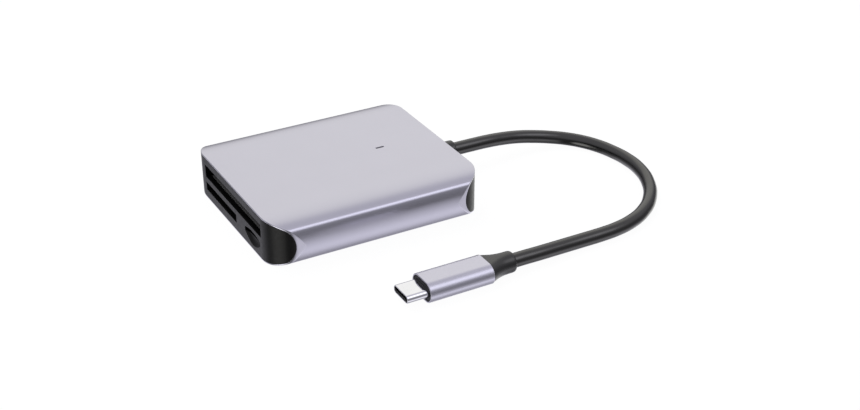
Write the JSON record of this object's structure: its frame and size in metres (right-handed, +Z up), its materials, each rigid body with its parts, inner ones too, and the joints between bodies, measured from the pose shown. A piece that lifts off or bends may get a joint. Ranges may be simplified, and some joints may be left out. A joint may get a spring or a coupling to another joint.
{
  "type": "memory card reader hub",
  "caption": "Flat USB-C memory card reader hub: an anodised aluminium sleeve with black end caps, card slots in the front and a short captive cable at the back.",
  "frame": {"origin": "bottom centre of the body, on the surface it stands on, without the cable and its plug", "axes": "+X runs across the card slots, +Y runs from the slot face to the cable exit, +Z is up"},
  "size_m": [0.1005, 0.1309, 0.0147],
  "materials": {
    "anodised_aluminium": "satin bead-blasted anodised, pale lilac grey",
    "black_plastic": "satin moulded black plastic",
    "cord_rubber": "satin black elastomer",
    "smoked_lens": "dark translucent light pipe",
    "tray_plastic": "plain dark grey moulding",
    "board_green": "green solder mask on glass fibre board",
    "socket_plastic": "black heat-resistant moulding",
    "spring_steel": "plain rolled stainless steel",
    "gold_contact": "gold-plated copper alloy contacts",
    "chrome_shell": "bright nickel plating",
    "chip_black": "epoxy chip package",
    "ferrite": "ferrite inductor block",
    "tantalum": "yellow moulded capacitor",
    "led_white": "white LED package",
    "wire_red": "red wire insulation",
    "wire_black": "black wire insulation",
    "wire_green": "green wire insulation",
    "wire_white": "white wire insulation"
  },
  "bodies": {
    "hub": {"housing_sleeve": "anodised_aluminium", "front_bezel": "black_plastic", "rear_cap": "black_plastic", "led_light_pipe": "smoked_lens", "inner_tray": "tray_plastic", "main_pcb": "board_green", "pcb_screw_1": "spring_steel", "pcb_screw_2": "spring_steel", "pcb_screw_3": "spring_steel", "pcb_screw_4": "spring_steel", "cfast_header": "socket_plastic", "cfast_signal_contacts": "gold_contact", "cfast_power_contacts": "gold_contact", "cfast_guide_left": "tray_plastic", "cfast_guide_right": "tray_plastic", "cfast_card_floor": "tray_plastic", "sd_socket_base": "socket_plastic", "sd_socket_shell": "spring_steel", "sd_contacts": "gold_contact", "micro_sd_base": "socket_plastic", "micro_sd_shell": "spring_steel", "micro_sd_contacts": "gold_contact", "micro_sd_spring": "spring_steel", "cfast_bridge_chip": "chip_black", "card_reader_chip": "chip_black", "flash_chip": "chip_black", "crystal_1": "spring_steel", "crystal_2": "spring_steel", "power_inductor": "ferrite", "regulator": "chip_black", "bulk_capacitor": "tantalum", "status_led": "led_white", "cable_gland": "cord_rubber", "cable_tail": "cord_rubber", "cable_crimp_ring": "spring_steel", "lead_wire_1": "wire_red", "lead_wire_2": "wire_black", "lead_wire_3": "wire_green", "lead_wire_4": "wire_white", "cable": "cord_rubber", "plug_strain_relief": "cord_rubber", "plug_sleeve": "anodised_aluminium", "plug_core": "black_plastic", "plug_pcb": "board_green", "usb_c_shell": "chrome_shell", "usb_c_insulator": "socket_plastic", "usb_c_contacts_upper": "gold_contact", "usb_c_contacts_lower": "gold_contact"},
    "sd_detect": {"sd_detect_arm": "spring_steel"},
    "sd_lock": {"sd_lock_arm": "spring_steel"},
    "micro_sd_carriage": {"micro_sd_slider": "socket_plastic"}
  },
  "joints": [
    {"name": "micro_sd_carriage_slide", "type": "slide", "parent": "hub", "child": "micro_sd_carriage", "axis": [0, 1, 0], "range_m": [0, 0.0035], "stiffness_N_per_m": 60, "springref_m": -0.001, "deforming": ["micro_sd_spring"]},
    {"name": "sd_detect_pivot", "type": "hinge", "parent": "hub", "child": "sd_detect", "pos_m": [0.0024, -0.0115, 0.00425], "axis": [0, 0, -1], "range_deg": [0, 8], "stiffness_Nm_per_rad": 0.002},
    {"name": "sd_lock_pivot", "type": "hinge", "parent": "hub", "child": "sd_lock", "pos_m": [-0.0219, -0.0143, 0.00425], "axis": [0, 0, -1], "range_deg": [0, 5], "stiffness_Nm_per_rad": 0.002}
  ]
}
